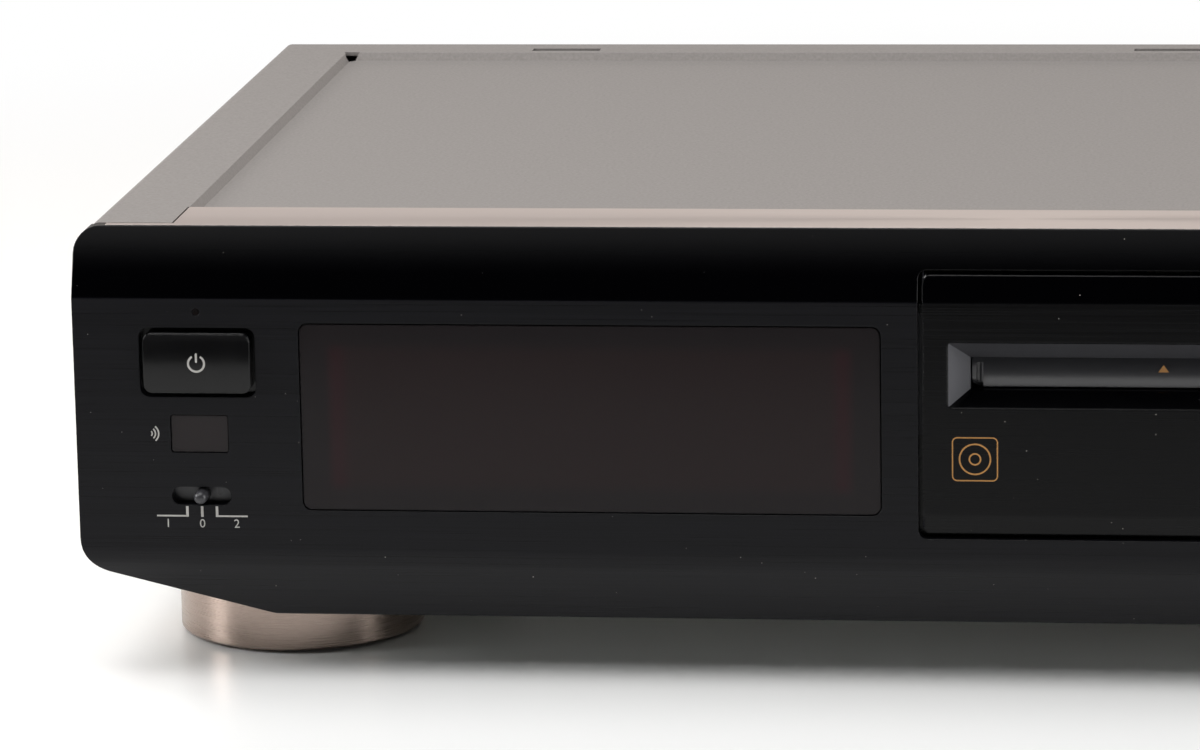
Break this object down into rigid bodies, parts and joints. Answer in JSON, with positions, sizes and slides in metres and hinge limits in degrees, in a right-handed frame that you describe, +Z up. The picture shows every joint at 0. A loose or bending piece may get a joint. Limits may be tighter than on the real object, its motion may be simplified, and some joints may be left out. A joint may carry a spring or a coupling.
{
  "type": "minidisc deck",
  "caption": "Full-width minidisc recorder deck with a flapped disc slot in a tapered recess, smoked display window, push keys, turning knobs and round metal feet.",
  "frame": {"origin": "on the floor under the feet, in the middle of the overall width and depth", "axes": "+X to the right as seen from the front, +Y to the back, +Z up"},
  "size_m": [0.43, 0.2884, 0.1058],
  "materials": {
    "panel_black": "satin, fine hairlines",
    "trim_aluminium": "brushed, champagne",
    "cover_paint": "fine textured paint",
    "zinc_steel": "zinc plated",
    "black_screw": "black plated",
    "smoked_window": "gloss, smoked",
    "lamp_lens": "gloss",
    "foot_champagne": "brushed, champagne",
    "pad_rubber": "matte",
    "iron_core": "varnished",
    "board_laminate": "matte",
    "bare_aluminium": "satin",
    "tube_glass": "gloss",
    "socket_black": "satin",
    "cable_film": "satin",
    "key_gloss": "gloss",
    "key_satin": "satin",
    "knob_black": "satin",
    "white_acetal": "satin",
    "pinion_brass": "satin",
    "sled_alloy": "cast"
  },
  "bodies": {
    "deck": {"bottom_chassis": "zinc_steel", "rear_panel": "cover_paint", "top_cover": "cover_paint", "cover_screws": "black_screw", "front_panel": "panel_black", "top_trim": "trim_aluminium", "centre_panel": "panel_black", "display_window": "smoked_window", "sensor_window": "smoked_window", "standby_lamp": "lamp_lens", "feet": "foot_champagne", "foot_pads": "pad_rubber", "foot_screws": "zinc_steel", "transformer": "iron_core", "power_board": "board_laminate", "capacitors": "bare_aluminium", "heat_sink": "bare_aluminium", "main_board": "board_laminate", "display_board": "board_laminate", "display_tube": "tube_glass", "key_board": "board_laminate", "control_pots": "zinc_steel", "phones_jack": "socket_black", "line_sockets": "socket_black", "optical_sockets": "socket_black", "mains_inlet": "socket_black", "flat_cable": "cable_film", "mech_bracket": "zinc_steel", "mech_dampers": "pad_rubber", "mech_base": "zinc_steel", "spindle_motor": "zinc_steel", "guide_rods": "zinc_steel", "sled_motor": "zinc_steel", "loading_motor": "zinc_steel"},
    "power_button": {"power_button": "key_gloss"},
    "timer_knob": {"timer_knob": "key_gloss"},
    "slot_flap": {"slot_flap": "key_satin"},
    "eject_button": {"eject_button": "key_satin"},
    "play_key": {"play_key": "key_satin"},
    "pause_key": {"pause_key": "key_satin"},
    "stop_key": {"stop_key": "key_satin"},
    "rewind_key": {"rewind_key": "key_satin"},
    "forward_key": {"forward_key": "key_satin"},
    "record_key": {"record_key": "key_satin"},
    "display_key": {"display_key": "key_satin"},
    "mode_key": {"mode_key": "key_satin"},
    "menu_key": {"menu_key": "key_satin"},
    "jog_shaft": {"jog_shaft": "zinc_steel"},
    "jog_dial": {"jog_dial": "knob_black"},
    "level_knob": {"level_knob": "knob_black"},
    "phones_knob": {"phones_knob": "knob_black"},
    "selector_knob": {"selector_knob": "knob_black"},
    "disc_carrier": {"disc_carrier": "zinc_steel"},
    "cam_slider": {"cam_slider": "white_acetal"},
    "loading_gear": {"loading_gear": "white_acetal"},
    "motor_pinion": {"motor_pinion": "pinion_brass"},
    "optical_sled": {"optical_sled": "sled_alloy"},
    "lead_screw": {"lead_screw": "zinc_steel"},
    "head_arm": {"head_arm": "white_acetal"},
    "turntable": {"turntable": "zinc_steel"}
  },
  "joints": [
    {"name": "power_press", "type": "slide", "parent": "deck", "child": "power_button", "axis": [0, 1, 0], "range_m": [0, 0.0025], "stiffness_N_per_m": 500},
    {"name": "timer_slide", "type": "slide", "parent": "deck", "child": "timer_knob", "axis": [1, 0, 0], "range_m": [-0.0035, 0.0035]},
    {"name": "flap_swing", "type": "hinge", "parent": "deck", "child": "slot_flap", "pos_m": [0.0328, -0.12715, 0.0776], "axis": [1, 0, 0], "range_deg": [0, 80], "stiffness_Nm_per_rad": 0.002, "springref_deg": -17.19},
    {"name": "eject_press", "type": "slide", "parent": "deck", "child": "eject_button", "axis": [0, 1, 0], "range_m": [0, 0.001], "stiffness_N_per_m": 600},
    {"name": "play_press", "type": "slide", "parent": "deck", "child": "play_key", "axis": [0, 1, 0], "range_m": [0, 0.001], "stiffness_N_per_m": 600},
    {"name": "pause_press", "type": "slide", "parent": "deck", "child": "pause_key", "axis": [0, 1, 0], "range_m": [0, 0.001], "stiffness_N_per_m": 600},
    {"name": "stop_press", "type": "slide", "parent": "deck", "child": "stop_key", "axis": [0, 1, 0], "range_m": [0, 0.001], "stiffness_N_per_m": 600},
    {"name": "rewind_press", "type": "slide", "parent": "deck", "child": "rewind_key", "axis": [0, 1, 0], "range_m": [0, 0.001], "stiffness_N_per_m": 600},
    {"name": "forward_press", "type": "slide", "parent": "deck", "child": "forward_key", "axis": [0, 1, 0], "range_m": [0, 0.001], "stiffness_N_per_m": 600},
    {"name": "record_press", "type": "slide", "parent": "deck", "child": "record_key", "axis": [0, 1, 0], "range_m": [0, 0.001], "stiffness_N_per_m": 600},
    {"name": "display_press", "type": "slide", "parent": "deck", "child": "display_key", "axis": [0, 1, 0], "range_m": [0, 0.001], "stiffness_N_per_m": 600},
    {"name": "mode_press", "type": "slide", "parent": "deck", "child": "mode_key", "axis": [0, 1, 0], "range_m": [0, 0.001], "stiffness_N_per_m": 600},
    {"name": "menu_press", "type": "slide", "parent": "deck", "child": "menu_key", "axis": [0, 1, 0], "range_m": [0, 0.001], "stiffness_N_per_m": 600},
    {"name": "jog_push", "type": "slide", "parent": "deck", "child": "jog_shaft", "axis": [0, 1, 0], "range_m": [0, 0.0006], "stiffness_N_per_m": 1500},
    {"name": "jog_turn", "type": "hinge", "parent": "jog_shaft", "child": "jog_dial", "pos_m": [0.188, -0.13515, 0.071], "axis": [0, 1, 0], "continuous": true},
    {"name": "level_turn", "type": "hinge", "parent": "deck", "child": "level_knob", "pos_m": [0.188, -0.13515, 0.043], "axis": [0, 1, 0], "range_deg": [-150, 150]},
    {"name": "phones_turn", "type": "hinge", "parent": "deck", "child": "phones_knob", "pos_m": [0.14229, -0.13515, 0.043], "axis": [0, 1, 0], "range_deg": [-150, 150]},
    {"name": "selector_turn", "type": "hinge", "parent": "deck", "child": "selector_knob", "pos_m": [0.16057, -0.13515, 0.043], "axis": [0, 1, 0], "range_deg": [-30, 30]},
    {"name": "cam_slide", "type": "slide", "parent": "deck", "child": "cam_slider", "axis": [0, 1, 0], "range_m": [0, 0.012]},
    {"name": "carrier_drop", "type": "slide", "parent": "deck", "child": "disc_carrier", "axis": [0, 0, -1], "range_m": [0, 0.004]},
    {"name": "gear_turn", "type": "hinge", "parent": "deck", "child": "loading_gear", "pos_m": [0.0778, -0.04315, 0.0828], "axis": [1, 0, 0], "range_deg": [0, 143.5]},
    {"name": "pinion_turn", "type": "hinge", "parent": "deck", "child": "motor_pinion", "pos_m": [0.0778, -0.0552, 0.0828], "axis": [1, 0, 0], "range_deg": [-430.5, 0]},
    {"name": "sled_slide", "type": "slide", "parent": "deck", "child": "optical_sled", "axis": [0, 1, 0], "range_m": [0, 0.016]},
    {"name": "screw_turn", "type": "hinge", "parent": "deck", "child": "lead_screw", "pos_m": [0.0608, -0.04915, 0.0585], "axis": [0, 1, 0], "range_deg": [0, 2885]},
    {"name": "arm_lower", "type": "hinge", "parent": "optical_sled", "child": "head_arm", "pos_m": [0.0328, -0.02615, 0.0817], "axis": [1, 0, 0], "range_deg": [0, 6], "stiffness_Nm_per_rad": 0.02, "springref_deg": -2.86},
    {"name": "disc_spin", "type": "hinge", "parent": "deck", "child": "turntable", "pos_m": [0.0328, -0.06915, 0.0595], "axis": [0, 0, 1], "continuous": true}
  ],
  "couplings": [
    {"joint": "carrier_drop", "follows": "cam_slide", "ratio": 0.33333},
    {"joint": "gear_turn", "follows": "cam_slide", "rad_per_m": 208.33},
    {"joint": "pinion_turn", "follows": "cam_slide", "rad_per_m": -625},
    {"joint": "screw_turn", "follows": "sled_slide", "rad_per_m": 3141.6}
  ]
}
